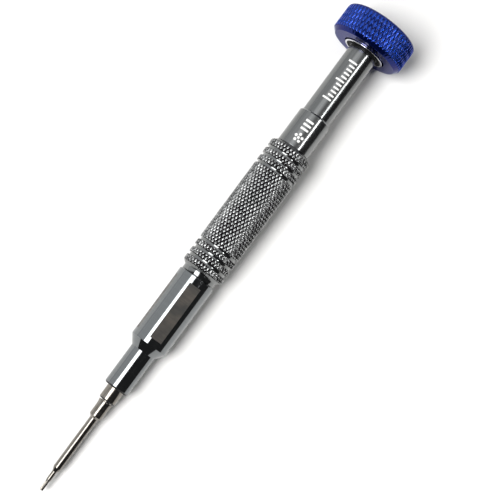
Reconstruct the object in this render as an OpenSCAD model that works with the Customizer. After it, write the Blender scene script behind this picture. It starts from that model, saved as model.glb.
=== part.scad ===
// Precision screwdriver with a five-lobe star tip, a knurled grip and a fingertip cap on a ball bearing.
// Every piece is drawn along the tool's own axis with the tip at z = 0, then laid down along +X.
// The cap's rim is the lowest point, so the axis lies one cap radius above the surface.

/* [Blade] */
// Diameter over the lobes of the star tip
tip_d = 0.85; // [0.75:0.05:0.95]
// Length of the fluted tip
tip_len = 2.4; // [1.6:0.1:3.0]
// Diameter of the neck behind the tip
neck_d = 1.1; // [1.0:0.05:1.3]
// Length of the neck
neck_len = 2.5; // [1.5:0.1:4.0]
// Length of the taper from the neck to the shaft
neck_taper = 1.0; // [0.5:0.1:2.0]
// Diameter of the blade's shaft
shaft_d = 1.9; // [1.6:0.1:2.2]
// Length of the blade's shaft
shaft_len = 13.3; // [8:0.1:20]
// Diameter of the blade's collar
collar_d = 3.0; // [2.8:0.1:3.2]
// Length of the collar with its front chamfer
collar_len = 3.4; // [2:0.1:5]
// Diameter of the flared shoulder behind the collar
flare_d = 3.4; // [3.3:0.1:3.7]
// Length of the flare
flare_len = 1.0; // [0.5:0.1:1.5]
// Diameter of the stem that is pressed into the shank
stem_d = 2.4; // [2.0:0.1:2.6]

/* [Shank] */
// Width of the shank across its flats, and the diameter of its round front
shank_af = 4.0; // [3.9:0.05:4.1]
// Length of the round front that shows ahead of the nose
shank_front = 3.35; // [2:0.05:5]
// Length of the hexagon held in the socket
shank_grip = 10.0; // [8:0.5:12]

/* [Front body] */
// Diameter of the nose
nose_d = 6.0; // [5.8:0.1:6.6]
// Length of the nose
nose_len = 10.0; // [8:0.5:12]
// Length of the cone between the nose and the body
cone_len = 2.1; // [1:0.1:4]
// Diameter of the polished body
body_d = 9.0; // [8.8:0.1:9.6]
// Length of the polished body
body_len = 17.8; // [16.5:0.1:22]
// Width across opposite spanner flats
flat_af = 8.5; // [8.4:0.05:8.7]
// Length of the spanner flats
flat_len = 14.6; // [10:0.1:15]
// Angle of the first flat from straight up
flat_angle = 11; // [0:1:45]

/* [Grip] */
// Diameter over the knurled crests
grip_d = 10.2; // [9.8:0.1:11]
// Diameter at the bottom of the ring grooves
groove_d = 9.3; // [9.0:0.1:9.5]
// Length of the middle knurled band
band_len = 20.6; // [15:0.1:26]
// Length of each knurled ring
ring_len = 1.32; // [1.0:0.02:1.6]
// Width of each groove
groove_len = 0.73; // [0.5:0.01:0.9]
// Knurled rings at each end of the band
ring_count = 3; // [2:1:4]

/* [Rear] */
// Diameter of the size ring
size_ring_d = 8.0; // [7.6:0.1:8.2]
// Length of the size ring
size_ring_len = 8.9; // [6:0.1:12]
// Diameter of the rear barrel
barrel_d = 7.0; // [6.8:0.1:7.2]
// Length of the rear barrel that shows
barrel_len = 17.8; // [12:0.1:24]

/* [Cap] */
// Diameter of the fingertip cap
cap_d = 18.0; // [16:0.5:22]
// Height of the cap
cap_h = 7.2; // [7:0.1:9]
// Width of the chamfer on the cap's underside, measured across
cap_chamfer = 0.95; // [0.5:0.05:1.5]
// Radius of the cap's rounded end edge
cap_round = 1.0; // [0.5:0.1:1.5]

/* [Hidden] */

// Colours
nickel = [0.72, 0.68, 0.62];
polished = [0.55, 0.57, 0.60];
satin = [0.42, 0.43, 0.44];
gunmetal = [0.36, 0.37, 0.38];
bearing_steel = [0.78, 0.78, 0.80];
seal_black = [0.05, 0.05, 0.05];
zinc = [0.62, 0.62, 0.60];
blue = [0.08, 0.14, 0.55];

// Fits, each the gap on one side
press_gap = 0.02;
slide_gap = 0.05;
race_gap = 0.05;
past = 0.5;

// Stations along the blade and the shank, from the tip
neck_end = tip_len + neck_len;
shaft_start = neck_end + neck_taper;
shaft_end = shaft_start + shaft_len;
collar_end = shaft_end + collar_len;
collar_chamfer = (collar_d - shaft_d) / 2;
flare_end = collar_end + flare_len;
flare_land = 0.1;
shank_start = flare_end + 0.25;
nose_start = shank_start + shank_front;
stem_len = 7.6;
stem_end = shank_start + stem_len;
flute_count = 5;
flute_d = 0.32;
shank_edge = 0.15;
shank_round_in = 0.4;
shank_end = nose_start + shank_round_in + shank_grip;

// Stations along the front body
nose_end = nose_start + nose_len;
body_start = nose_end + cone_len;
body_end = body_start + body_len;
body_edge = 0.2;
sleeve_start = body_end + body_edge;
nose_edge_len = 0.3;
nose_edge = 0.5;
flat_start = body_start + 1.5;
socket_end = shank_end + 0.1;
socket_across = (shank_af + 2 * slide_gap) / cos(30);
mouth_len = 0.3;
magnet_d = 3.8;
magnet_len = 3.0;
magnet_start = socket_end;
magnet_end = magnet_start + magnet_len;
front_spigot_d = 6.5;
front_spigot_end = sleeve_start + 5.7;
spigot_edge = 0.3;
spigot_spare = 0.3;

// Tie stud, a threaded rod relieved in the middle
stud_d = 4.0;
stud_waist_d = 3.3;
stud_thread_len = 13.5;
stud_edge = 0.4;
stud_start = front_spigot_end - 14.8;
stud_hole_start = stud_start - 0.2;

// Stations along the grip sleeve
sleeve_neck_d = 8.3;
sleeve_neck_len = 1.1;
sleeve_cone_len = 0.8;
sleeve_end_d = 8.2;
sleeve_end_len = 0.7;
last_ring_extra = 0.3;
sleeve_bore_d = 5.0;
ring_pitch = ring_len + groove_len;
front_rings_start = sleeve_start + sleeve_neck_len + sleeve_cone_len;
band_start = front_rings_start + ring_count * ring_pitch;
band_end = band_start + band_len;
rear_rings_end = band_end + ring_count * ring_pitch + last_ring_extra;
sleeve_end = rear_rings_end + sleeve_end_len;

// Stations along the rear end
size_ring_end = sleeve_end + size_ring_len;
size_ring_edge = 0.4;
rear_spigot_d = 6.0;
rear_spigot_start = sleeve_end - 5.8;
barrel_end = size_ring_end + barrel_len;
barrel_edge = 0.15;
stud_end = size_ring_end + 2.0;
stud_hole_end = stud_end + 0.3;

// Bearing, the common 6 x 10 x 3 mm size
bearing_bore = 6.0;
bearing_d = 10.0;
bearing_w = 3.0;
spacer_d = 6.8;
spacer_len = 0.5;
bearing_start = barrel_end + spacer_len;
bearing_end = bearing_start + bearing_w;
bearing_mid = bearing_start + bearing_w / 2;
ball_d = 1.2;
ball_count = 10;
ball_track_r = (bearing_bore + bearing_d) / 4;
race_groove_r = ball_d / 2 + race_gap;
inner_land_r = ball_track_r - 0.4;
outer_land_r = ball_track_r + 0.4;
race_edge = 0.15;
cage_r_in = inner_land_r + 0.15;
cage_r_out = outer_land_r - 0.15;
cage_w = 1.5;
pocket_d = ball_d + 0.06;
pocket_reach = outer_land_r - inner_land_r;
seal_r_in = inner_land_r + 0.06;
seal_r_out = outer_land_r + 0.17;
seal_t = 0.27;
seal_depth = 0.33;
journal_end = bearing_end - 0.1;

// Screw that holds the bearing's inner race on the barrel
screw_d = 2.5;
screw_len = 8.0;
screw_hole_start = journal_end - 8.5;
head_d = 4.5;
head_h = 1.5;
hex_key_af = 1.5;
hex_key_depth = 0.9;
washer_bore = 2.7;
washer_t = 0.4;
washer_end = bearing_end + washer_t;
lock_d = 4.6;
lock_t = 0.6;
lock_end = washer_end + lock_t;
lock_gap = 0.5;
head_end = lock_end + head_h;

// Stations on the cap
bearing_proud = 0.3;
cap_start = bearing_start + bearing_proud;
cap_end = cap_start + cap_h;
cap_r = cap_d / 2;
cap_chamfer_len = 1.0;
seat_lip_r = outer_land_r + 0.05;
plug_d = 10.0;
plug_t = 1.0;
plug_start = cap_end - plug_t;
plug_edge = 0.15;
tool_len = cap_end;

// Lays a piece drawn tip down at z = 0 along +X, at its resting height; local +X becomes up
module lay() {
    translate([-tool_len / 2, 0, cap_r])
        rotate([0, 90, 0])
            rotate([0, 0, 180])
                children();
}

// A turned solid from its half outline of [radius, station] points
module turned(outline) {
    rotate_extrude($fn = 96)
        polygon(outline);
}

// A round hole or rod between two stations
module rod(d, from, to) {
    translate([0, 0, from])
        cylinder(d = d, h = to - from, $fn = 96);
}

// A flat ring between two stations
module ring(r_in, r_out, from, to) {
    turned([[r_in, from], [r_out, from], [r_out, to], [r_in, to]]);
}

// A rod with chamfered ends
module chamfered_rod(d, from, to, edge) {
    r = d / 2;
    turned([[0, from], [r - edge, from], [r, from + edge], [r, to - edge], [r - edge, to], [0, to]]);
}

// Points of the knurled rings and grooves on a run that starts with a ring
function ring_points(start) = [
    for (i = [0 : ring_count - 1])
        for (p = [[grip_d, 0], [grip_d, ring_len], [groove_d, ring_len], [groove_d, ring_pitch]])
            [p[0] / 2, start + i * ring_pitch + p[1]]
];

// The same run in reverse, where each groove comes before its ring and the last ring is longer
function rear_ring_points(start) = [
    for (i = [0 : ring_count - 1])
        let (pitch = i < ring_count - 1 ? ring_pitch : ring_pitch + last_ring_extra)
            for (p = [[groove_d, 0], [groove_d, groove_len], [grip_d, groove_len], [grip_d, pitch]])
                [p[0] / 2, start + i * ring_pitch + p[1]]
];

// Blade with a fluted star tip, a neck, a shaft, a collar with a flared shoulder, and a pressed stem
module driver_blade() {
    color(nickel) lay() {
        difference() {
            turned([[0, 0], [tip_d / 2 - 0.05, 0], [tip_d / 2, 0.05], [tip_d / 2, tip_len],
                    [neck_d / 2, tip_len + 0.2], [neck_d / 2, neck_end], [shaft_d / 2, shaft_start],
                    [shaft_d / 2, shaft_end], [collar_d / 2, shaft_end + collar_chamfer],
                    [collar_d / 2, collar_end], [flare_d / 2, flare_end - flare_land],
                    [flare_d / 2, flare_end],
                    [stem_d / 2, flare_end], [stem_d / 2, stem_end], [0, stem_end]]);
            for (i = [0 : flute_count - 1])
                rotate([0, 0, (i + 0.5) * 360 / flute_count])
                    translate([tip_d / 2 + 0.04, 0, -past])
                        cylinder(d = flute_d, h = tip_len + past, $fn = 32);
        }
    }
}

// Shank with a round front that shows, a hexagon that sits in the nose, and a hole for the blade's stem
module hex_shank() {
    r = shank_af / 2;
    hexagon_start = nose_start + shank_round_in;
    color(nickel) lay() {
        difference() {
            union() {
                turned([[0, shank_start], [r - shank_edge, shank_start], [r, shank_start + shank_edge],
                        [r, hexagon_start + past], [0, hexagon_start + past]]);
                intersection() {
                    translate([0, 0, hexagon_start])
                        cylinder(d = shank_af / cos(30), h = shank_end - hexagon_start, $fn = 6);
                    turned([[0, hexagon_start - past], [r, hexagon_start - past], [r, hexagon_start],
                            [r + 0.4, hexagon_start + 0.4], [r + 0.4, shank_end - 0.4], [r, shank_end],
                            [0, shank_end]]);
                }
            }
            rod(stem_d + 2 * press_gap, shank_start - past, stem_end + 0.2);
        }
    }
}

// Magnet at the bottom of the socket
module bit_magnet() {
    color(bearing_steel) lay()
        chamfered_rod(magnet_d, magnet_start, magnet_end, 0.15);
}

// Nose, cone and polished body in one piece, with spanner flats, a hexagon socket and a rear spigot
module front_body() {
    nose_r = nose_d / 2;
    body_r = body_d / 2;
    spigot_r = front_spigot_d / 2;
    color(polished) lay() {
        difference() {
            turned([[0, nose_start], [nose_r - nose_edge, nose_start], [nose_r, nose_start + nose_edge_len],
                    [nose_r, nose_end], [body_r, body_start], [body_r, body_end],
                    [body_r - body_edge, sleeve_start], [spigot_r, sleeve_start],
                    [spigot_r, front_spigot_end - spigot_edge], [spigot_r - spigot_edge, front_spigot_end],
                    [0, front_spigot_end]]);
            for (i = [0 : 3])
                rotate([0, 0, flat_angle + i * 90])
                    translate([flat_af / 2, -body_r, flat_start])
                        cube([body_r, body_d, flat_len]);
            translate([0, 0, nose_start - past])
                cylinder(d = socket_across, h = socket_end - nose_start + past, $fn = 6);
            rod(socket_across, nose_start - past, nose_start + mouth_len);
            rod(magnet_d + 2 * press_gap, socket_end - past, magnet_end);
            rod(stud_d + 2 * press_gap, stud_hole_start, front_spigot_end + past);
        }
    }
}

// Threaded stud that draws the front body and the rear barrel together through the grip sleeve
module tie_stud() {
    r = stud_d / 2;
    waist_r = stud_waist_d / 2;
    color(zinc) lay()
        turned([[0, stud_start], [r - stud_edge, stud_start], [r, stud_start + stud_edge],
                [r, stud_start + stud_thread_len], [waist_r, stud_start + stud_thread_len + 0.4],
                [waist_r, stud_end - stud_thread_len - 0.4], [r, stud_end - stud_thread_len],
                [r, stud_end - stud_edge], [r - stud_edge, stud_end], [0, stud_end]]);
}

// Grip sleeve: rings and grooves at each end of a long band, bored through for the stud and the spigots
module grip_sleeve() {
    neck_r = sleeve_neck_d / 2;
    color(satin) lay() {
        difference() {
            turned(concat([[0, sleeve_start], [neck_r, sleeve_start],
                           [neck_r, sleeve_start + sleeve_neck_len]],
                          ring_points(front_rings_start),
                          [[grip_d / 2, band_start], [grip_d / 2, band_end]],
                          rear_ring_points(band_end),
                          [[sleeve_end_d / 2, sleeve_end], [0, sleeve_end]]));
            rod(sleeve_bore_d, sleeve_start - past, sleeve_end + past);
            rod(front_spigot_d + 2 * press_gap, sleeve_start - past, front_spigot_end + spigot_spare);
            rod(rear_spigot_d + 2 * press_gap, rear_spigot_start - spigot_spare, sleeve_end + past);
        }
    }
}

// Ring that carries the size mark, clamped between the grip sleeve and the barrel's shoulder
module size_ring() {
    r = size_ring_d / 2;
    r_in = rear_spigot_d / 2 + press_gap;
    color(gunmetal) lay()
        turned([[r_in, sleeve_end], [r - 0.1, sleeve_end], [r, sleeve_end + 0.1],
                [r, size_ring_end - size_ring_edge], [r - size_ring_edge, size_ring_end],
                [r_in, size_ring_end]]);
}

// Rear barrel with a front spigot, a journal for the bearing, and a threaded hole in each end
module rear_barrel() {
    r = barrel_d / 2;
    spigot_r = rear_spigot_d / 2;
    journal_r = bearing_bore / 2;
    color(gunmetal) lay() {
        difference() {
            turned([[0, rear_spigot_start], [spigot_r - spigot_edge, rear_spigot_start],
                    [spigot_r, rear_spigot_start + spigot_edge], [spigot_r, size_ring_end],
                    [r, size_ring_end],
                    [r, barrel_end - barrel_edge], [r - barrel_edge, barrel_end], [journal_r, barrel_end],
                    [journal_r, journal_end - 0.1], [journal_r - 0.1, journal_end], [0, journal_end]]);
            rod(stud_d + 2 * press_gap, rear_spigot_start - past, stud_hole_end);
            rod(screw_d + 2 * press_gap, screw_hole_start, journal_end + past);
        }
    }
}

// Spacer between the barrel's shoulder and the inner race
module race_spacer() {
    color(zinc) lay()
        ring(bearing_bore / 2 + press_gap, spacer_d / 2, barrel_end, bearing_start);
}

// Torus-shaped ball track that is cut from both races
module ball_track() {
    rotate_extrude($fn = 96)
        translate([ball_track_r, bearing_mid])
            circle(r = race_groove_r, $fn = 48);
}

// Inner race, seated on the barrel's journal
module bearing_inner_race() {
    r_in = bearing_bore / 2 + press_gap;
    color(bearing_steel) lay() {
        difference() {
            ring(r_in, inner_land_r, bearing_start, bearing_end);
            ball_track();
        }
    }
}

// Outer race, seated in the cap, with a recess for a seal in each face
module bearing_outer_race() {
    r = bearing_d / 2;
    recess_r = seal_r_out + press_gap;
    color(bearing_steel) lay() {
        difference() {
            turned([[recess_r, bearing_start], [r - race_edge, bearing_start], [r, bearing_start + race_edge],
                    [r, bearing_end - race_edge], [r - race_edge, bearing_end], [recess_r, bearing_end],
                    [recess_r, bearing_end - seal_depth], [outer_land_r, bearing_end - seal_depth],
                    [outer_land_r, bearing_start + seal_depth], [recess_r, bearing_start + seal_depth]]);
            ball_track();
        }
    }
}

// One set of balls, evenly spaced
module bearing_balls() {
    color(bearing_steel) lay()
        for (i = [0 : ball_count - 1])
            rotate([0, 0, i * 360 / ball_count])
                translate([ball_track_r, 0, bearing_mid])
                    sphere(d = ball_d, $fn = 48);
}

// Cage that keeps the balls apart, a thin ring with a round pocket for each ball
module bearing_cage() {
    color(zinc) lay() {
        difference() {
            ring(cage_r_in, cage_r_out, bearing_mid - cage_w / 2, bearing_mid + cage_w / 2);
            for (i = [0 : ball_count - 1])
                rotate([0, 0, i * 360 / ball_count])
                    translate([inner_land_r, 0, bearing_mid])
                        rotate([0, 90, 0])
                            cylinder(d = pocket_d, h = pocket_reach, $fn = 48);
        }
    }
}

// A rubber seal disc with its front face at a station
module seal(from) {
    color(seal_black) lay()
        ring(seal_r_in, seal_r_out, from, from + seal_t);
}

// Seal on the side of the barrel
module bearing_seal_front() {
    seal(bearing_start + seal_depth - seal_t);
}

// Seal inside the cap
module bearing_seal_rear() {
    seal(bearing_end - seal_depth);
}

// Flat washer that bears on the inner race only
module retaining_washer() {
    color(zinc) lay()
        ring(washer_bore / 2, inner_land_r, bearing_end, washer_end);
}

// Split spring washer under the screw's head
module lock_washer() {
    color(zinc) lay() {
        difference() {
            ring(washer_bore / 2, lock_d / 2, washer_end, lock_end);
            translate([0, -lock_gap / 2, washer_end - past])
                cube([lock_d, lock_gap, lock_t + 2 * past]);
        }
    }
}

// Cap head screw with a hexagon recess
module cap_screw() {
    r = head_d / 2;
    thread_r = screw_d / 2;
    color(zinc) lay() {
        difference() {
            turned([[0, lock_end - screw_len], [thread_r - 0.3, lock_end - screw_len],
                    [thread_r, lock_end - screw_len + 0.3], [thread_r, lock_end], [r, lock_end],
                    [r, head_end - 0.2], [r - 0.2, head_end], [0, head_end]]);
            translate([0, 0, head_end - hex_key_depth])
                cylinder(d = hex_key_af / cos(30), h = hex_key_depth + past, $fn = 6);
        }
    }
}

// Fingertip cap, with a seat for the outer race, a chamber over the screw and a recess for the plug
module cap_shell() {
    seat_r = bearing_d / 2 + press_gap;
    plug_r = plug_d / 2 + press_gap;
    color(blue) lay()
        rotate_extrude($fn = 96) {
            polygon([[seat_r, cap_start], [cap_r - cap_chamfer, cap_start],
                     [cap_r, cap_start + cap_chamfer_len], [cap_r, cap_end - cap_round],
                     [cap_r - cap_round, cap_end - cap_round], [cap_r - cap_round, cap_end],
                     [plug_r, cap_end], [plug_r, plug_start], [seat_lip_r, plug_start],
                     [seat_lip_r, bearing_end], [seat_r, bearing_end]]);
            translate([cap_r - cap_round, cap_end - cap_round])
                circle(r = cap_round, $fn = 48);
        }
}

// Plug that closes the end of the cap flush
module cap_plug() {
    r = plug_d / 2;
    color(blue) lay()
        turned([[0, plug_start], [r, plug_start], [r, cap_end - plug_edge], [r - plug_edge, cap_end],
                [0, cap_end]]);
}

driver_blade();
hex_shank();
bit_magnet();
front_body();
tie_stud();
grip_sleeve();
size_ring();
rear_barrel();
race_spacer();
bearing_inner_race();
bearing_outer_race();
bearing_balls();
bearing_cage();
bearing_seal_front();
bearing_seal_rear();
retaining_washer();
lock_washer();
cap_screw();
cap_shell();
cap_plug();
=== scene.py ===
import math

import bpy
import numpy as np
from mathutils import Matrix, Vector


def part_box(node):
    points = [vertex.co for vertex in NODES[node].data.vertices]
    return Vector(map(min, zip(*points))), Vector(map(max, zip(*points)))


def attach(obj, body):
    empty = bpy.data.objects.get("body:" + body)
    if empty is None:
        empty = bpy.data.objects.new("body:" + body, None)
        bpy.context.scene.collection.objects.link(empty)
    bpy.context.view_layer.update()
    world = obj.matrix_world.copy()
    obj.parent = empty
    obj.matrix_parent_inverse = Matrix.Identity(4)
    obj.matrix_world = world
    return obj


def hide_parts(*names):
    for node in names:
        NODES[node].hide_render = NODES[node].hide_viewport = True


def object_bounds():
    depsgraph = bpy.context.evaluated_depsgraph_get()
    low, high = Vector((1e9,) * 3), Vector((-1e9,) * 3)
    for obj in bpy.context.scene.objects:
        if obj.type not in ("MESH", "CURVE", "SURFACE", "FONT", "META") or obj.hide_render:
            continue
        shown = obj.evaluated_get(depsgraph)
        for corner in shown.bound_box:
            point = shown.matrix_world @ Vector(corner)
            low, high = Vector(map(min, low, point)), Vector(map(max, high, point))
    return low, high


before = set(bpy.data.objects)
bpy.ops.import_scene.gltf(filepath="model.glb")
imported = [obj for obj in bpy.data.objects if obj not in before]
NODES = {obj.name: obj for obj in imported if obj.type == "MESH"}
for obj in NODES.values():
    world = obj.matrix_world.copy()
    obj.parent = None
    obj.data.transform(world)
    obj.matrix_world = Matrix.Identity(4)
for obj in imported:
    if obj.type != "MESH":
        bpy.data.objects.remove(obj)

MM = 0.001
TURN = 2 * math.pi
CAD_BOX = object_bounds()

# The tool lies along +X, tip at the low end, with its axis at mid height of the box.
TIP_X = CAD_BOX[0].x
AXIS_Z = (CAD_BOX[0].z + CAD_BOX[1].z) / 2

# The four spanner flats: the first one's angle from straight up, and how far each lies from the axis.
FLAT_ANGLE, FLAT_R = math.radians(11), 4.25 * MM

# How far the body's full diameter starts behind the nose's face, and the cap's behind its underside.
BODY_SETBACK, RIM_SETBACK = 12.1 * MM, 1.0 * MM


# ---------------------------------------------------------------- stations read from the frame


def ends(node):
    """Where a node starts and ends along the axis, in metres."""
    low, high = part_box(node)
    return low.x, high.x


def radius(node):
    """A turned node's largest radius."""
    low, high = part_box(node)
    return min(high.y - low.y, high.z - low.z) / 2


# ---------------------------------------------------------------- mesh making


def rounded(corners):
    """An outline of (x, r, fillet) corners as (x, r) points. Each fillet becomes an arc with a support point
    a little beyond each of its ends."""
    steps, support = 4, 0.35
    points = []
    for i, (x, r, fillet) in enumerate(corners):
        here = np.array([x, r])
        if not fillet:
            points.append(here)
            continue
        before = np.array(corners[i - 1][:2]) - here
        after = np.array(corners[(i + 1) % len(corners)][:2]) - here
        one, two = before / np.linalg.norm(before), after / np.linalg.norm(after)
        half = math.acos(float(np.clip(one @ two, -1, 1))) / 2
        reach = fillet / math.tan(half)
        start, end = here + one * reach, here + two * reach
        centre = here + (one + two) / np.linalg.norm(one + two) * fillet / math.sin(half)
        points.append(start + one * reach * support)
        for k in range(steps + 1):
            spoke = (start - centre) * (1 - k / steps) + (end - centre) * (k / steps)
            points.append(centre + spoke / np.linalg.norm(spoke) * fillet)
        points.append(end + two * reach * support)
    return np.array(points)


def grid_faces(radii, rows, columns, closed, by_depth):
    """Faces between rows of points round the axis. by_depth splits each along its deeper diagonal."""
    faces = []
    for i in range(rows if closed else rows - 1):
        j = (i + 1) % rows
        for c in range(columns):
            d = (c + 1) % columns
            a, b, e, f = i * columns + c, j * columns + c, j * columns + d, i * columns + d
            if not by_depth:
                faces.append((a, f, e, b))
            elif radii[i, c] + radii[j, d] <= radii[j, c] + radii[i, d]:
                faces += [(a, e, b), (a, f, e)]
            else:
                faces += [(a, f, b), (b, f, e)]
    return faces


def turned(name, outline, angles, shape=None, by_depth=False, sharp=30):
    """A turned piece from (x, r) points that go from the front to the back and, if bored, back again inside.
    A solid piece's outline starts and ends on the axis. shape(x, r, angle) gives the radius at each point."""
    solid = outline[0][1] == 0
    if solid:
        outline = outline[1:-1]
    rows, columns = len(outline), len(angles)
    x = np.repeat(np.array(outline)[:, :1], columns, axis=1)
    r = np.repeat(np.array(outline)[:, 1:2], columns, axis=1)
    angle = np.repeat(np.array(angles)[None, :], rows, axis=0)
    if shape:
        r = shape(x, r, angle)
    places = np.stack([x, -r * np.sin(angle), AXIS_Z + r * np.cos(angle)], axis=-1).reshape(-1, 3)
    faces = grid_faces(r, rows, columns, not solid, by_depth)
    if solid:
        last = (rows - 1) * columns
        faces += [tuple(reversed(range(columns))), tuple(range(last, last + columns))]
    return piece(name, places, faces, sharp)


def piece(name, places, faces, sharp=30):
    """A mesh object, smooth except across edges sharper than the given angle in degrees."""
    mesh = bpy.data.meshes.new(name)
    mesh.from_pydata([tuple(p) for p in places], [], faces)
    mesh.update()
    mesh.shade_smooth()
    mesh.set_sharp_from_angle(angle=math.radians(sharp))
    made = bpy.data.objects.new(name, mesh)
    bpy.context.scene.collection.objects.link(made)
    return made


def even_angles(count):
    """This many angles, evenly spaced round a turn."""
    return [TURN * i / count for i in range(count)]


def subdivided(a, b, step):
    """Points from a up to but not including b, at most a step apart."""
    slack = 1e-6
    n = max(1, math.ceil(abs(b[0] - a[0]) / step - slack))
    return [(a[0] + (b[0] - a[0]) * k / n, a[1] + (b[1] - a[1]) * k / n) for k in range(n)]


# ---------------------------------------------------------------- knurling


def knurl(crest, depth, starts, pitch, x0):
    """A shape for turned(): crossed V grooves at this many starts each way, one pitch apart along the axis.
    The grooves' walls take up the wall share of each diamond's half width, and the rest of it is flat."""
    wall = 0.5

    def distance(w):
        """From the nearest groove's bottom: 0 there and 1 midway between two grooves."""
        return np.abs((w + 0.5) % 1 - 0.5) * 2

    def shape(x, r, angle):
        around, along = angle * starts / TURN, (x - x0) / pitch
        height = np.minimum(distance(around + along), distance(around - along))
        cut = crest - depth * (1 - np.minimum(height, wall) / wall)
        return np.where(r > crest - depth, np.minimum(r, cut), r)

    return shape


def knurled_rows(start, end, x0, pitch, steps):
    """Stations from start to end, this many steps in a pitch, so that some lie where the grooves cross."""
    closest = 0.001 * MM
    first, last = math.ceil((start - x0) / pitch * steps), math.floor((end - x0) / pitch * steps)
    inner = [x0 + k * pitch / steps for k in range(first, last + 1)]
    return [start] + [x for x in inner if start + closest < x < end - closest] + [end]


# ---------------------------------------------------------------- the pieces

GRIP_STARTS, GRIP_PITCH, GRIP_DEPTH = 36, 1.6 * MM, 0.2 * MM
CAP_STARTS, CAP_PITCH, CAP_DEPTH = 57, 3.25 * MM, 0.22 * MM
KNURL_STEPS = 8


def make_blade():
    """The blade: a fluted five-lobe tip, a neck, a shaft, a collar and a flared shoulder."""
    x0, x1 = ends("driver_blade")
    flare_r = radius("driver_blade")
    tip_r, neck_r, shaft_r, collar_r, stem_r = 0.425 * MM, 0.55 * MM, 0.95 * MM, 1.5 * MM, 1.2 * MM
    tip_end, neck_start, neck_end = x0 + 2.4 * MM, x0 + 2.4 * MM + 0.35 * MM, x0 + 4.9 * MM
    shaft_start, shaft_end = x0 + 5.9 * MM, x0 + 19.2 * MM
    collar_start, collar_end, flare_end = x0 + 19.75 * MM, x0 + 22.6 * MM, x0 + 23.6 * MM
    fine, soft, flare_land = 0.06 * MM, 0.5 * MM, 0.15 * MM
    corners = [
        (x0, 0, 0), (x0, tip_r - fine, 0), (x0 + fine, tip_r, 0), (tip_end, tip_r, 0),
        (neck_start, neck_r, fine), (neck_end, neck_r, soft),
        (shaft_start, shaft_r, soft), (shaft_end, shaft_r, 0.02 * MM),
        (collar_start, collar_r, 0.12 * MM), (collar_end, collar_r, soft),
        (flare_end - flare_land, flare_r, 0.05 * MM), (flare_end, flare_r - fine, 0.03 * MM),
        (flare_end, stem_r, 0), (x1, stem_r, 0), (x1, 0, 0),
    ]
    points = [tuple(p) for p in rounded(corners)]
    tip_rows = subdivided(points[2], points[3], step=0.3 * MM)
    points = points[:2] + tip_rows + points[3:]
    flute_count, flute_depth, flute_power = 5, 0.13 * MM, 1.3
    fade_end, fade_len = tip_end + 0.3 * MM, 0.5 * MM

    def flutes(x, r, angle):
        lobes = 0.5 + 0.5 * np.cos(flute_count * angle)
        fade = np.clip((fade_end - x) / fade_len, 0, 1)
        return r - flute_depth * fade * (1 - lobes) ** flute_power

    return turned("blade", points, even_angles(120), flutes, sharp=35)


def make_shank():
    """The shank: a round front that shows, then the hexagon in the socket."""
    x0, x1 = ends("hex_shank")
    r, hole_r = 2.0 * MM, 1.22 * MM
    # A hexagon is this many times as wide across its corners as across its flats.
    across_corners = 1.1547
    corner_r = r * across_corners
    hexagon = ends("front_body")[0] + 0.4 * MM
    chamfer, chamfer_len, lead = 0.2 * MM, 0.28 * MM, 0.3 * MM
    corners = [
        (x0, hole_r, 0), (x0, r - chamfer, 0), (x0 + chamfer_len, r, 0.02 * MM),
        (hexagon, r, 0), (hexagon + lead, corner_r, 0), (x1 - lead, corner_r, 0),
        (x1, r, 0), (x1, hole_r, 0),
    ]

    def six_sides(x, x_r, angle):
        spoke = (angle + TURN / 12) % (TURN / 6) - TURN / 12
        on_hexagon = (x > hexagon - 1e-4 * MM) & (x_r > (hole_r + r) / 2)
        return np.where(on_hexagon, np.minimum(x_r, r / np.cos(spoke)), x_r)

    return turned("shank", rounded(corners), even_angles(144), six_sides)


def angles_with_flats(r):
    """Angles round a body of radius r that include both edges of each flat, and no others close to them."""
    half, closest = math.acos(FLAT_R / r), 0.006
    edges = [FLAT_ANGLE + TURN * k / 4 + side * half for k in range(4) for side in (-1, 1)]

    def clear(a):
        return all(abs((a - e + math.pi) % TURN - math.pi) > closest for e in edges)

    regular = [a for a in even_angles(288) if clear(a)]
    return sorted(a % TURN for a in regular + edges)


def make_front_body():
    """The polished front body with its four milled flats. The socket in its nose is a round bore here, as
    wide as the shank's hexagon is across its corners."""
    x0, end = ends("front_body")
    shoulder = ends("grip_sleeve")[0]
    r = radius("front_body")
    nose_r, spigot_r, socket_r, bore_r = 3.0 * MM, 3.25 * MM, 2.37 * MM, 1.9 * MM
    nose_end, socket_end, body_start = x0 + 10 * MM, x0 + 10.5 * MM, x0 + BODY_SETBACK
    flat_start, flat_end = body_start + 1.5 * MM, body_start + 16.1 * MM
    nose_chamfer, nose_chamfer_len, back_chamfer = 0.28 * MM, 0.36 * MM, 0.2 * MM
    crisp = 0.05 * MM
    corners = [
        (x0, socket_r, 0), (x0, nose_r - nose_chamfer, 0.02 * MM), (x0 + nose_chamfer_len, nose_r, 0.02 * MM),
        (nose_end, nose_r, crisp), (body_start, r, crisp), (flat_start, r, 0), (flat_start, r, 0),
        (flat_end, r, 0), (flat_end, r, 0), (shoulder - back_chamfer, r, crisp),
        (shoulder, r - back_chamfer, 0), (shoulder, spigot_r, 0), (end, spigot_r, 0), (end, bore_r, 0),
        (socket_end, bore_r, 0), (socket_end, socket_r, 0),
    ]
    outline = rounded(corners)
    angles = angles_with_flats(r)
    same = 1e-6 * MM
    stations = outline[:, 0]
    at_ends = np.flatnonzero((abs(stations - flat_start) < same) | (abs(stations - flat_end) < same))
    milled = np.zeros(len(outline), bool)
    milled[at_ends[1] : at_ends[2] + 1] = True

    def flats(x, x_r, angle):
        spoke = (angle - FLAT_ANGLE + TURN / 8) % (TURN / 4) - TURN / 8
        return np.where(milled[:, None], np.minimum(x_r, FLAT_R / np.cos(spoke)), x_r)

    return turned("front_body_shell", outline, angles, flats, sharp=9)


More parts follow.
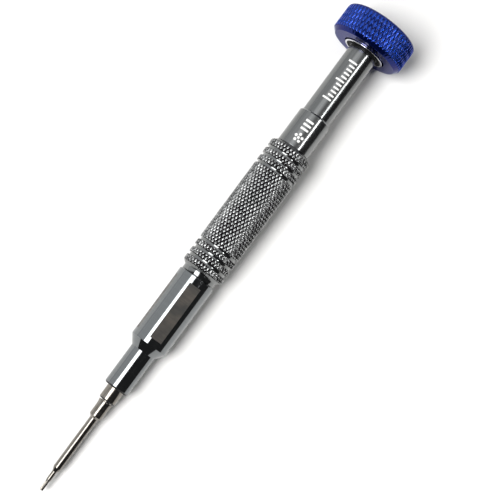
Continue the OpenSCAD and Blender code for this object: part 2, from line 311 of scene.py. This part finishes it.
def make_grip():
    """The grip sleeve: its neck, knurled rings and grooves, the long knurled band, and its end cone."""
    x0, x1 = ends("grip_sleeve")
    crest, floor = radius("grip_sleeve"), 4.65 * MM
    neck_r, end_r, front_bore, bore, rear_bore = 4.15 * MM, 4.1 * MM, 3.27 * MM, 2.5 * MM, 3.02 * MM
    ring, groove, edge, foot, rings = 1.32 * MM, 0.73 * MM, 0.12 * MM, 0.08 * MM, 3
    pitch = ring + groove
    neck_edge, neck_end, first = 0.1 * MM, x0 + 1.1 * MM, x0 + 1.9 * MM
    end_cone, last_ring_extra = 0.7 * MM, 0.3 * MM
    front_step, rear_step = x0 + 6 * MM, x1 - 6.1 * MM
    band_start = first + rings * pitch
    band_end = x1 - end_cone - last_ring_extra - rings * pitch
    knurled = [(first + k * pitch, first + k * pitch + ring) for k in range(rings)]
    knurled.append((band_start, band_end))
    knurled += [(band_end + k * pitch + groove, band_end + (k + 1) * pitch) for k in range(rings)]
    knurled[-1] = (knurled[-1][0], knurled[-1][1] + last_ring_extra)
    neck = [(x0, neck_r - neck_edge, 0), (x0 + neck_edge, neck_r, 0), (neck_end, neck_r, 0.25 * MM),
            (first, crest - edge, 0)]
    points = [tuple(p) for p in rounded(neck)]
    for k, (start, end) in enumerate(knurled):
        if k:
            before = knurled[k - 1][1]
            points += [(before, floor + foot), (before + foot, floor)]
            points += [(start - foot, floor), (start, floor + foot), (start, crest - edge)]
        stations = knurled_rows(start + edge, end - edge, first, GRIP_PITCH, KNURL_STEPS)
        points += [(x, crest) for x in stations]
        points.append((end, crest - edge))
    points += [(x1, end_r), (x1, rear_bore), (rear_step, rear_bore), (rear_step, bore)]
    points += [(front_step, bore), (front_step, front_bore), (x0, front_bore)]
    angles = even_angles(GRIP_STARTS * KNURL_STEPS)
    shape = knurl(crest, GRIP_DEPTH, GRIP_STARTS, GRIP_PITCH, first)
    return turned("knurled_grip", points, angles, shape, by_depth=True, sharp=50)


def make_size_ring():
    """The ring that carries the size mark."""
    x0, x1 = ends("size_ring")
    r, bore, chamfer = radius("size_ring"), 3.02 * MM, 0.4 * MM
    corners = [
        (x0, bore, 0), (x0, r, 0.08 * MM), (x1 - chamfer, r, 0.06 * MM), (x1, r - chamfer, 0.05 * MM),
        (x1, bore, 0),
    ]
    return turned("marked_ring", rounded(corners), even_angles(192))


def make_barrel():
    """The rear barrel with its spigot, and the journal that the bearing sits on."""
    x0, x1 = ends("rear_barrel")
    start, end = ends("size_ring")[1], ends("race_spacer")[0]
    r, spigot, journal, bore = radius("rear_barrel"), 3.0 * MM, 3.0 * MM, 1.27 * MM
    corners = [
        (x0, bore, 0), (x0, spigot, 0.1 * MM), (start, spigot, 0), (start, r, 0.06 * MM), (end, r, 0.12 * MM),
        (end, journal, 0), (x1, journal, 0.05 * MM), (x1, bore, 0),
    ]
    return turned("barrel", rounded(corners), even_angles(192))


def make_cap():
    """The knurled cap: a smooth underside and chamfer, the knurled rim, and a rounded end."""
    x0, x1 = ends("cap_shell")
    r, seat, lip, plug = radius("cap_shell"), 5.02 * MM, 4.45 * MM, 5.02 * MM
    chamfer, end_round, plug_rim = 0.95 * MM, 1.0 * MM, 0.3 * MM
    rim_start, round_start = x0 + RIM_SETBACK, x1 - end_round
    seat_end, plug_start = ends("bearing_outer_race")[1], ends("cap_plug")[0]
    underside = [(x0, seat, 0.04 * MM), (x0, r - chamfer, 0.15 * MM), (rim_start, r, 0)]
    points = [tuple(p) for p in rounded(underside)[:-1]]
    # One more row on the chamfer keeps its shading apart from the rim's grooves.
    near_rim = 0.25
    points.append((rim_start - near_rim * RIM_SETBACK, r - near_rim * chamfer))
    stations = knurled_rows(rim_start, round_start, rim_start, CAP_PITCH, KNURL_STEPS * 2)
    points += [(x, r) for x in stations[:-1]]
    arc = 8
    for k in range(arc + 1):
        a = math.pi / 2 * k / arc
        points.append((round_start + end_round * math.sin(a), r - end_round + end_round * math.cos(a)))
    points += [(x1, plug + plug_rim), (x1, plug), (plug_start, plug), (plug_start, lip)]
    points += [(seat_end, lip), (seat_end, seat)]
    angles = even_angles(CAP_STARTS * KNURL_STEPS)
    shape = knurl(r, CAP_DEPTH, CAP_STARTS, CAP_PITCH, rim_start)
    return turned("knurled_cap", points, angles, shape, by_depth=True, sharp=50)


def make_cap_plug():
    """The plug that closes the end of the cap."""
    x0, x1 = ends("cap_plug")
    r = radius("cap_plug")
    corners = [(x0, 0, 0), (x0, r, 0), (x1, r, 0.12 * MM), (x1, 0, 0)]
    return turned("end_plug", rounded(corners), even_angles(160))


def make_outer_race():
    """The bearing's outer race, with rounded edges, a seal recess in each face, and the ball track."""
    x0, x1 = ends("bearing_outer_race")
    r, land, recess, depth = radius("bearing_outer_race"), 4.4 * MM, 4.59 * MM, 0.33 * MM
    middle, track, pitch_r, edge, steps = (x0 + x1) / 2, 0.65 * MM, 4.0 * MM, 0.08 * MM, 10
    reach = math.acos((land - pitch_r) / track)
    points = [tuple(p) for p in rounded([(x0, recess, 0), (x0, r, edge), (x1, r, edge), (x1, recess, 0)])]
    points += [(x1 - depth, recess), (x1 - depth, land)]
    for k in range(steps + 1):
        a = reach - 2 * reach * k / steps
        points.append((middle + track * math.sin(a), pitch_r + track * math.cos(a)))
    points += [(x0 + depth, land), (x0 + depth, recess)]
    return turned("outer_race", points, even_angles(160))


def make_seal(name, node, face):
    """A rubber seal with a shallow groove pressed round its outer face.
    face is -1 if that is its front, and 1 if it is its back."""
    x0, x1 = ends(node)
    r_in, r = 3.66 * MM, radius(node)
    inner_land, outer_land, slope = 0.3 * MM, 0.17 * MM, 0.08 * MM
    outer, inner = (x0, x1) if face < 0 else (x1, x0)
    dip = outer - face * 0.07 * MM
    points = [(outer, r_in), (outer, r_in + inner_land), (dip, r_in + inner_land + slope),
              (dip, r - outer_land - slope), (outer, r - outer_land), (outer, r), (inner, r), (inner, r_in)]
    if face > 0:
        points.reverse()
    return turned(name, points, even_angles(128))


# ---------------------------------------------------------------- printed marks

MARK_PROUD, MARK_DEEP = 0.012 * MM, 0.03 * MM


def wrapped(name, outlines, x0, r, angle):
    """Thin solids wrapped round a cylinder, one for each outline of (along, across) points in metres."""
    places, faces = [], []
    for outline in outlines:
        n, base = len(outline), len(places)
        for height in (r + MARK_PROUD, r - MARK_DEEP):
            for along, across in outline:
                turn = angle + across / r
                places.append((x0 + along, -height * math.sin(turn), AXIS_Z + height * math.cos(turn)))
        faces.append(tuple(base + k for k in range(n)))
        faces.append(tuple(base + n + k for k in reversed(range(n))))
        faces += [(base + (k + 1) % n, base + k, base + n + k, base + n + (k + 1) % n) for k in range(n)]
    return piece(name, places, faces)


def bar(along, across, length, width, cuts=6):
    """A bar's outlines, in short lengths across so that it follows the curve."""
    made = []
    for k in range(cuts):
        low = across - width / 2 + width * k / cuts
        high = across - width / 2 + width * (k + 1) / cuts
        made.append([(along, low), (along, high), (along + length, high), (along + length, low)])
    return made


def disc(along, across, r, sides=16):
    """A round dot's outline."""
    turns = [-TURN * k / sides for k in range(sides)]
    return [(along + r * math.cos(a), across + r * math.sin(a)) for a in turns]


def make_size_mark():
    """A ring of five dots round a sixth, for the five-lobe tip, and three bars."""
    x0, _ = ends("size_ring")
    lobes, middle, spread, dot_r, middle_r = 5, 2.3 * MM, 0.85 * MM, 0.34 * MM, 0.3 * MM
    first_bar, bar_step, thickness, width = 4.3 * MM, 1.05 * MM, 0.5 * MM, 1.95 * MM
    turns = [TURN * k / lobes for k in range(lobes)]
    dots = [disc(middle + spread * math.cos(a), spread * math.sin(a), dot_r) for a in turns]
    dots.append(disc(middle, 0, middle_r))
    bars = [b for k in range(3) for b in bar(first_bar + bar_step * k, 0, thickness, width)]
    return wrapped("size_mark", dots + bars, x0, radius("size_ring"), math.radians(-6))


def make_scale_mark():
    """A plain row of graduation lines along the barrel, every fifth one longer, with their feet in line."""
    x0 = ends("size_ring")[1]
    first, step, thickness, long, short = 4.2 * MM, 1.0 * MM, 0.42 * MM, 2.2 * MM, 1.4 * MM
    foot = long / 2
    lines = []
    for k in range(11):
        height = short if k % 5 else long
        lines += bar(first + step * k, foot - height / 2, thickness, height)
    return wrapped("scale_mark", lines, x0, radius("rear_barrel"), math.radians(-9.5))


# ---------------------------------------------------------------- materials


class Surface:
    """A Principled material and short ways to add the nodes that vary it."""

    def __init__(self, name, **constants):
        """constants are the shader's own sockets, with _ for each space in their names."""
        self.material = bpy.data.materials.new(name)
        self.material.use_nodes = True
        self.tree = self.material.node_tree
        self.shader = self.tree.nodes["Principled BSDF"]
        self.set(self.shader, {key.replace("_", " "): value for key, value in constants.items()})

    def set(self, node, values):
        """Sets a node's sockets by their names."""
        for key, value in values.items():
            node.inputs[key].default_value = value

    def node(self, kind, **inputs):
        """A new node of this kind, with these socket values."""
        made = self.tree.nodes.new("ShaderNode" + kind)
        self.set(made, inputs)
        return made

    def link(self, source, target, socket):
        """Joins an output to a node's socket."""
        self.tree.links.new(source, target.inputs[socket])

    def place(self, scale):
        """Positions on the object, in metres, times a scale along each axis."""
        coordinate = self.node("TexCoord")
        scaled = self.node("Mapping", Scale=scale)
        self.link(coordinate.outputs["Object"], scaled, "Vector")
        return scaled.outputs["Vector"]

    def noise(self, scale, detail=3.0, rough=0.55):
        """Noise with this many waves in a metre along each axis."""
        made = self.node("TexNoise", Scale=1.0, Detail=detail, Roughness=rough)
        self.link(self.place(scale), made, "Vector")
        return made.outputs["Fac"]

    def distance_from_axis(self):
        """How far each point is from the tool's axis, in metres."""
        coordinate = self.node("TexCoord")
        moved = self.node("Mapping", Location=(0, 0, -AXIS_Z), Scale=(0, 1, 1))
        self.link(coordinate.outputs["Object"], moved, "Vector")
        length = self.node("VectorMath")
        length.operation = "LENGTH"
        self.link(moved.outputs["Vector"], length, 0)
        return length.outputs["Value"]

    def ranged(self, value, low, high, to_low, to_high):
        """A value mapped from one range to another, and kept in it."""
        made = self.node("MapRange")
        self.set(made, {"From Min": low, "From Max": high, "To Min": to_low, "To Max": to_high})
        self.link(value, made, "Value")
        return made.outputs["Result"]

    def mixed(self, factor, one, two):
        """A colour between two colours or colour outputs."""
        first_color, second_color, result = 6, 7, 2
        made = self.node("Mix")
        made.data_type = "RGBA"
        self.link(factor, made, "Factor")
        for socket, value in ((first_color, one), (second_color, two)):
            if isinstance(value, tuple):
                made.inputs[socket].default_value = (*value, 1)
            else:
                self.link(value, made, socket)
        return made.outputs[result]

    def plain(self, color):
        """The shader has this colour all over."""
        self.set(self.shader, {"Base Color": (*color, 1)})

    def color(self, output):
        """The shader takes its colour from this output."""
        self.link(output, self.shader, "Base Color")

    def rough(self, output):
        """The shader takes its roughness from this output."""
        self.link(output, self.shader, "Roughness")

    def bump(self, height, distance):
        """A bump of this height in metres."""
        made = self.node("Bump", Strength=1.0, Distance=distance)
        self.link(height, made, "Height")
        self.link(made.outputs["Normal"], self.shader, "Normal")


def polished_steel():
    """Mirror polish with faint turning lines round the axis and small handling marks."""
    s = Surface("polished_steel", Metallic=1.0)
    lines = s.noise((9000, 40, 40), 2)
    marks = s.noise((350, 350, 350), 5, 0.65)
    s.rough(s.ranged(marks, 0.35, 0.7, 0.06, 0.13))
    s.color(s.mixed(s.ranged(lines, 0.3, 0.7, 0, 1), (0.19, 0.20, 0.205), (0.215, 0.225, 0.23)))
    s.bump(lines, 0.0006 * MM)
    return s.material


def milled_steel():
    """The flats: cross-milled, darker and slightly brown."""
    s = Surface("milled_steel", Metallic=0.3)
    cuts = s.noise((4200, 60, 60), 3)
    patches = s.noise((300, 200, 200), 4, 0.6)
    stained = s.mixed(s.ranged(patches, 0.38, 0.62, 0, 1), (0.036, 0.036, 0.034), (0.078, 0.068, 0.058))
    s.color(s.mixed(s.ranged(cuts, 0.4, 0.65, 0, 0.45), stained, (0.02, 0.02, 0.019)))
    s.rough(s.ranged(cuts, 0.3, 0.7, 0.36, 0.5))
    s.bump(cuts, 0.006 * MM)
    return s.material


def grip_steel():
    """Knurled steel: bright worn crests over painted shade in the grooves, and plain turned metal between the
    rings.
    """
    s = Surface("grip_steel", Metallic=1.0)
    crest = radius("grip_sleeve")
    from_axis = s.distance_from_axis()
    height = s.ranged(from_axis, crest - GRIP_DEPTH * 0.75, crest - GRIP_DEPTH * 0.15, 0, 1)
    plain = s.ranged(from_axis, crest - GRIP_DEPTH * 1.3, crest - GRIP_DEPTH * 1.2, 1, 0)
    grain = s.noise((5200, 5200, 5200), 4)
    cloud = s.noise((900, 900, 900), 4, 0.6)
    worn = s.mixed(s.ranged(cloud, 0.35, 0.65, 0, 1), (0.18, 0.183, 0.183), (0.5, 0.505, 0.505))
    # The near-black colour at the bottom of the knurl's grooves is painted shade.
    s.color(s.mixed(plain, s.mixed(height, (0.006, 0.006, 0.006), worn), (0.2, 0.205, 0.205)))
    s.rough(s.ranged(grain, 0.3, 0.7, 0.06, 0.14))
    s.bump(grain, 0.002 * MM)
    return s.material


def satin_gunmetal():
    """Satin steel drawn lengthwise: fine streaks along the axis."""
    s = Surface("satin_gunmetal", Metallic=1.0)
    streaks = s.noise((50, 4200, 4200), 4, 0.6)
    broad = s.noise((18, 900, 900), 3)
    s.color(s.mixed(s.ranged(broad, 0.35, 0.65, 0, 1), (0.165, 0.17, 0.17), (0.225, 0.23, 0.23)))
    s.rough(s.ranged(streaks, 0.3, 0.7, 0.14, 0.24))
    s.bump(streaks, 0.0035 * MM)
    return s.material


def bit_nickel():
    """Warm nickel plate over turned tool steel."""
    s = Surface("bit_nickel", Metallic=1.0)
    lines = s.noise((7500, 60, 60), 3)
    stain = s.noise((600, 900, 900), 4, 0.6)
    s.color(s.mixed(s.ranged(stain, 0.35, 0.7, 0, 1), (0.26, 0.243, 0.22), (0.19, 0.175, 0.153)))
    s.rough(s.ranged(lines, 0.3, 0.7, 0.1, 0.2))
    s.bump(lines, 0.001 * MM)
    return s.material


def blue_anodised():
    """Deep blue anodised aluminium under a thin clear oxide, with painted shade darkening the knurl's
    grooves.
    """
    s = Surface("blue_anodised", Metallic=0.9, Specular_Tint=(0.25, 0.3, 0.5, 1),
                Coat_Weight=0.4, Coat_Roughness=0.05, Coat_IOR=1.5)
    crest = radius("cap_shell")
    height = s.ranged(s.distance_from_axis(), crest - CAP_DEPTH * 0.8, crest - CAP_DEPTH * 0.1, 0, 1)
    grain = s.noise((4200, 4200, 4200), 4)
    # The darker blue is painted shade in the knurl's grooves; the smooth faces nearer the axis take the same
    # darker blue.
    s.color(s.mixed(height, (0.0015, 0.011, 0.125), (0.006, 0.05, 0.37)))
    s.rough(s.ranged(grain, 0.3, 0.7, 0.12, 0.2))
    s.bump(grain, 0.0003 * MM)
    return s.material


def bearing_steel():
    """Ground and polished bearing steel with a fine grain."""
    s = Surface("bearing_steel", Metallic=1.0)
    s.plain((0.74, 0.74, 0.75))
    grain = s.noise((5200, 5200, 5200), 3)
    s.rough(s.ranged(grain, 0.3, 0.7, 0.08, 0.2))
    s.bump(grain, 0.0006 * MM)
    return s.material


def painted_dark_reflection():
    """Near-black steel with a fine grain, a painted dark reflection on the faces that wear it."""
    s = Surface("painted_dark_reflection", Metallic=0.8)
    grain = s.noise((5200, 5200, 5200), 4)
    # The near-black colour is a painted dark reflection, not the steel's own finish.
    s.color(s.mixed(s.ranged(grain, 0.3, 0.7, 0, 1), (0.02, 0.02, 0.021), (0.045, 0.045, 0.046)))
    s.rough(s.ranged(grain, 0.3, 0.7, 0.28, 0.42))
    s.bump(grain, 0.001 * MM)
    return s.material


def cage_steel():
    """Pressed sheet steel."""
    s = Surface("cage_steel", Metallic=1.0)
    s.plain((0.55, 0.54, 0.51))
    grain = s.noise((3600, 3600, 3600), 4)
    s.rough(s.ranged(grain, 0.3, 0.7, 0.25, 0.42))
    s.bump(grain, 0.003 * MM)
    return s.material


def seal_rubber():
    """Matte black moulded rubber."""
    s = Surface("seal_rubber", Metallic=0.0, Specular_IOR_Level=0.06)
    grain = s.noise((7000, 7000, 7000), 4)
    s.color(s.mixed(grain, (0.003, 0.003, 0.003), (0.009, 0.009, 0.009)))
    s.rough(s.ranged(grain, 0.3, 0.7, 0.42, 0.6))
    s.bump(grain, 0.004 * MM)
    return s.material


def zinc_plate():
    """Bright zinc plating on small fasteners."""
    s = Surface("zinc_plate", Metallic=1.0)
    cloud = s.noise((900, 900, 900), 5, 0.6)
    s.color(s.mixed(s.ranged(cloud, 0.3, 0.7, 0, 1), (0.50, 0.50, 0.49), (0.64, 0.63, 0.60)))
    s.rough(s.ranged(cloud, 0.3, 0.7, 0.22, 0.36))
    s.bump(cloud, 0.002 * MM)
    return s.material


def magnet_plate():
    """Nickel plate on the magnet."""
    s = Surface("magnet_plate", Metallic=1.0)
    s.plain((0.68, 0.67, 0.65))
    cloud = s.noise((1500, 1500, 1500), 4)
    s.rough(s.ranged(cloud, 0.3, 0.7, 0.12, 0.26))
    return s.material


def mark_paint():
    """White ink, printed thin."""
    s = Surface("mark_paint", Metallic=0.0)
    patches = s.noise((6000, 6000, 6000), 4, 0.7)
    s.color(s.mixed(s.ranged(patches, 0.3, 0.6, 0, 1), (0.72, 0.72, 0.71), (0.92, 0.92, 0.90)))
    s.rough(s.ranged(patches, 0.3, 0.7, 0.42, 0.6))
    return s.material


def floor_paint():
    """A plain pale table top."""
    s = Surface("floor_paint", Metallic=0.0)
    s.plain((0.9, 0.895, 0.88))
    grain = s.noise((220, 220, 220), 4)
    s.rough(s.ranged(grain, 0.3, 0.7, 0.55, 0.7))
    return s.material


def wear(obj, *materials):
    """Gives an object these materials in place of its own."""
    obj.data.materials.clear()
    for material in materials:
        obj.data.materials.append(material)


def finish_piece(obj, node, body, slot, *materials):
    """A made piece takes a node's place, rides on its body and wears its materials."""
    wear(obj, *materials)
    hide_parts(node)
    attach(obj, body)


def finish_mark(obj, material):
    """A printed mark rides on the handle."""
    wear(obj, material)
    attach(obj, "handle")


def mill_flats(obj):
    """The spanner flats take the body's second material."""
    touch = 0.001 * MM
    for face in obj.data.polygons:
        out = Vector((0, face.center.y, face.center.z - AXIS_Z))
        on_plane = abs(out.dot(face.normal) - FLAT_R) < touch
        sideways = face.normal.x ** 2 < 0.5
        if on_plane and sideways and out.length < radius("front_body") - touch:
            face.material_index = 1


def darken_front_edge(obj, width, inside):
    """The chamfer at a piece's front takes its last material: a painted dark reflection."""
    start = min(v.co.x for v in obj.data.vertices)
    for face in obj.data.polygons:
        out = math.hypot(face.center.y, face.center.z - AXIS_Z)
        if face.center.x < start + width and out > inside:
            face.material_index = len(obj.data.materials) - 1


# ---------------------------------------------------------------- assembly

steel, milled, grip, gunmetal = polished_steel(), milled_steel(), grip_steel(), satin_gunmetal()
nickel, blue, race, rubber = bit_nickel(), blue_anodised(), bearing_steel(), seal_rubber()
zinc, cage, plate, white = zinc_plate(), cage_steel(), magnet_plate(), mark_paint()
# black is the near-black steel that paints a dark reflection.
black = painted_dark_reflection()

front = make_front_body()
finish_piece(front, "front_body", "handle", "polished_steel", steel, milled, black)
mill_flats(front)
# The nose's front chamfer gets a painted dark reflection.
darken_front_edge(front, width=0.34 * MM, inside=2.6 * MM)

finish_piece(make_blade(), "driver_blade", "bit", "bit_steel", nickel)
shank = make_shank()
finish_piece(shank, "hex_shank", "bit", "bit_steel", nickel, black)
# The shank's front chamfer gets a painted dark reflection too.
darken_front_edge(shank, width=0.26 * MM, inside=1.7 * MM)
finish_piece(make_grip(), "grip_sleeve", "handle", "grip_steel", grip)
finish_piece(make_size_ring(), "size_ring", "handle", "satin_gunmetal", gunmetal)
finish_piece(make_barrel(), "rear_barrel", "handle", "satin_gunmetal", gunmetal)
finish_piece(make_cap(), "cap_shell", "cap", "blue_anodised", blue)
finish_piece(make_cap_plug(), "cap_plug", "cap", "blue_anodised", blue)
finish_piece(make_outer_race(), "bearing_outer_race", "cap", "bearing_steel", race)
for name, node, face in (("front_seal", "bearing_seal_front", -1), ("rear_seal", "bearing_seal_rear", 1)):
    finish_piece(make_seal(name, node, face), node, "cap", "seal_rubber", rubber)
finish_mark(make_size_mark(), white)
finish_mark(make_scale_mark(), white)

# The spacer and the inner race wear near-black steel: a painted dark reflection.
for node, material in (
    ("bit_magnet", plate), ("tie_stud", zinc), ("race_spacer", black), ("bearing_inner_race", black),
    ("bearing_balls", race), ("bearing_cage", cage), ("retaining_washer", zinc), ("lock_washer", zinc),
    ("cap_screw", zinc),
):
    wear(NODES[node], material)


# ---------------------------------------------------------------- table, light and camera


def make_floor():
    """A table top tilted so that the cap's rim and the body's front edge both rest on it."""
    rim_x, rim_r = ends("cap_shell")[0] + RIM_SETBACK, radius("cap_shell")
    edge_x, edge_r = ends("front_body")[0] + BODY_SETBACK, radius("front_body")
    low, high = Vector((rim_x, 0, AXIS_Z - rim_r)), Vector((edge_x, 0, AXIS_Z - edge_r))
    slope = math.atan2(high.z - low.z, low.x - high.x)
    half = 6.0
    corners = [(-half, -half, 0), (half, -half, 0), (half, half, 0), (-half, half, 0)]
    floor = piece("table_top", corners, [(0, 1, 2, 3)])
    floor.matrix_world = Matrix.Translation(low) @ Matrix.Rotation(slope, 4, "Y")
    wear(floor, floor_paint())


def aimed(lamp, toward_y, along_x, distance):
    """Places a lamp so that it faces the tool. Its angles from straight up, toward +Y and along +X, are in
    degrees."""
    up = Vector((math.tan(math.radians(along_x)), math.tan(math.radians(toward_y)), 1)).normalized()
    third = up.cross(Vector((1, 0, 0))).normalized()
    turn = Matrix((third.cross(up), third, up)).transposed()
    lamp.matrix_world = Matrix.Translation(Vector((0, 0, AXIS_Z)) + up * distance) @ turn.to_4x4()
    lamp.visible_camera = False
    bpy.context.scene.collection.objects.link(lamp)


def area_light(name, toward_y, along_x, distance, size_x, size_y, power):
    """A soft box that faces the tool."""
    data = bpy.data.lights.new(name, "AREA")
    data.shape, data.size, data.size_y, data.energy = "RECTANGLE", size_x, size_y, power
    aimed(bpy.data.objects.new(name, data), toward_y, along_x, distance)


def make_sky_light():
    """Even, soft light from the main box's side. It keeps the table pale and isn't seen in mirrors."""
    data = bpy.data.lights.new("sky_light", "SUN")
    data.energy, data.angle = 1.6, math.radians(26)
    lamp = bpy.data.objects.new("sky_light", data)
    lamp.visible_glossy = False
    aimed(lamp, toward_y=20, along_x=-19, distance=1.0)


def make_world():
    """A room that is paler toward +X and +Y. It shows in mirrors and lights nothing matte, and the camera
    sees it evenly pale."""
    lean = 1.1
    shades = {"From Min": 0.05, "From Max": 0.45, "To Min": 0.05, "To Max": 0.95}
    world = bpy.data.worlds.new("room")
    bpy.context.scene.world = world
    world.cycles_visibility.diffuse = False
    world.use_nodes = True
    nodes, links = world.node_tree.nodes, world.node_tree.links
    coordinate, split = nodes.new("ShaderNodeTexCoord"), nodes.new("ShaderNodeSeparateXYZ")
    ramp = nodes.new("ShaderNodeMapRange")
    ramp.interpolation_type = "SMOOTHSTEP"
    links.new(coordinate.outputs["Generated"], split.inputs["Vector"])
    toward = nodes.new("ShaderNodeMath")
    toward.operation = "MULTIPLY_ADD"
    toward.inputs[1].default_value = lean
    links.new(split.outputs["X"], toward.inputs[0])
    links.new(split.outputs["Y"], toward.inputs[2])
    links.new(toward.outputs["Value"], ramp.inputs["Value"])
    for key, value in shades.items():
        ramp.inputs[key].default_value = value
    seen, brighter = nodes.new("ShaderNodeLightPath"), nodes.new("ShaderNodeMath")
    brighter.operation = "MAXIMUM"
    links.new(ramp.outputs["Result"], brighter.inputs[0])
    links.new(seen.outputs["Is Camera Ray"], brighter.inputs[1])
    links.new(brighter.outputs["Value"], nodes["Background"].inputs["Strength"])
    nodes["Background"].inputs["Color"].default_value = (0.97, 0.985, 1.0, 1)


# The lens and the sensor are in millimetres, and the rest is in metres and radians.
# The camera aims at a place this far along the tool from its tip, and across it.
LENS, SENSOR = 102.0, 36.0
CAM_DISTANCE = 0.3145
CAM_TILT, CAM_TURN = math.radians(5.1), math.radians(53.66)
AIM_ALONG, AIM_ACROSS = 69.3 * MM, -5.7 * MM


def make_camera():
    """Looks down on the tool, from a little toward its tip, with the tip at the picture's lower left."""
    data = bpy.data.cameras.new("camera")
    data.lens, data.sensor_width = LENS, SENSOR
    data.clip_start, data.clip_end = 0.01, 50
    camera = bpy.data.objects.new("camera", data)
    bpy.context.scene.collection.objects.link(camera)
    forward = Vector((math.sin(CAM_TILT), 0, -math.cos(CAM_TILT)))
    along = Vector((math.cos(CAM_TILT), 0, math.sin(CAM_TILT)))
    across = Vector((0, 1, 0))
    right = along * math.cos(CAM_TURN) - across * math.sin(CAM_TURN)
    up = along * math.sin(CAM_TURN) + across * math.cos(CAM_TURN)
    turn = Matrix((right, up, -forward)).transposed()
    aim = Vector((TIP_X + AIM_ALONG, AIM_ACROSS, AXIS_Z))
    camera.matrix_world = Matrix.Translation(aim - forward * CAM_DISTANCE) @ turn.to_4x4()
    bpy.context.scene.camera = camera


make_floor()
make_world()
make_sky_light()
area_light("main_box", toward_y=20, along_x=-19, distance=0.8, size_x=0.62, size_y=0.40, power=5.4)
area_light("strip", toward_y=-35, along_x=18, distance=0.7, size_x=0.26, size_y=0.07, power=0.9)
area_light("rear_card", toward_y=4, along_x=24, distance=0.7, size_x=0.5, size_y=0.92, power=0.45)
make_camera()
bpy.context.scene.view_settings.view_transform = "Standard"
